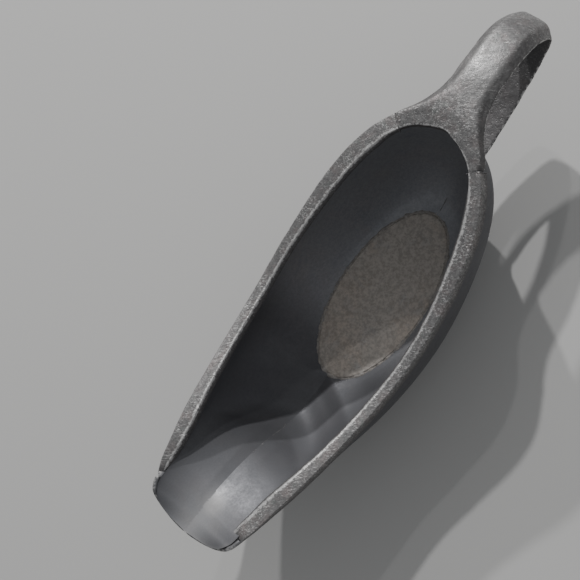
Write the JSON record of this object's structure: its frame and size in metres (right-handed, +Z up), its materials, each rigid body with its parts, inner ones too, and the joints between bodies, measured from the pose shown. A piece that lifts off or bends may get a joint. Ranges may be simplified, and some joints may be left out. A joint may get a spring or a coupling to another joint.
{
  "type": "sauce boat",
  "caption": "Pewter sauce boat: pod-shaped bowl with a flat oval floor, broad flat rim, trough spout and loop strap handle.",
  "frame": {"origin": "centre of the bounding box on the surface the foot ring stands on", "axes": "+X along the boat from the handle to the lip, +Y to the left of the boat when looking towards the lip, +Z up"},
  "size_m": [0.2154, 0.0662, 0.0658],
  "materials": {
    "dark_pewter": "smooth dark grey pewter with a patina",
    "worn_pewter": "mid-grey pewter, finely scratched and worn on its edges",
    "grainy_pewter": "grainy brown-grey pewter",
    "solder": "bright uneven solder"
  },
  "bodies": {
    "root": {"foot_ring": "dark_pewter", "floor_plate": "grainy_pewter", "body_wall_left": "dark_pewter", "body_wall_right": "dark_pewter", "spout_lip": "dark_pewter", "rim_band_left": "worn_pewter", "rim_band_right": "worn_pewter", "loop_handle": "worn_pewter", "floor_seam_solder": "solder", "keel_seam_solder": "solder", "stern_seam_solder": "solder", "lip_seam_solder": "solder", "rim_joint_solder_left": "solder", "rim_joint_solder_right": "solder", "handle_root_solder": "solder"}
  },
  "joints": []
}
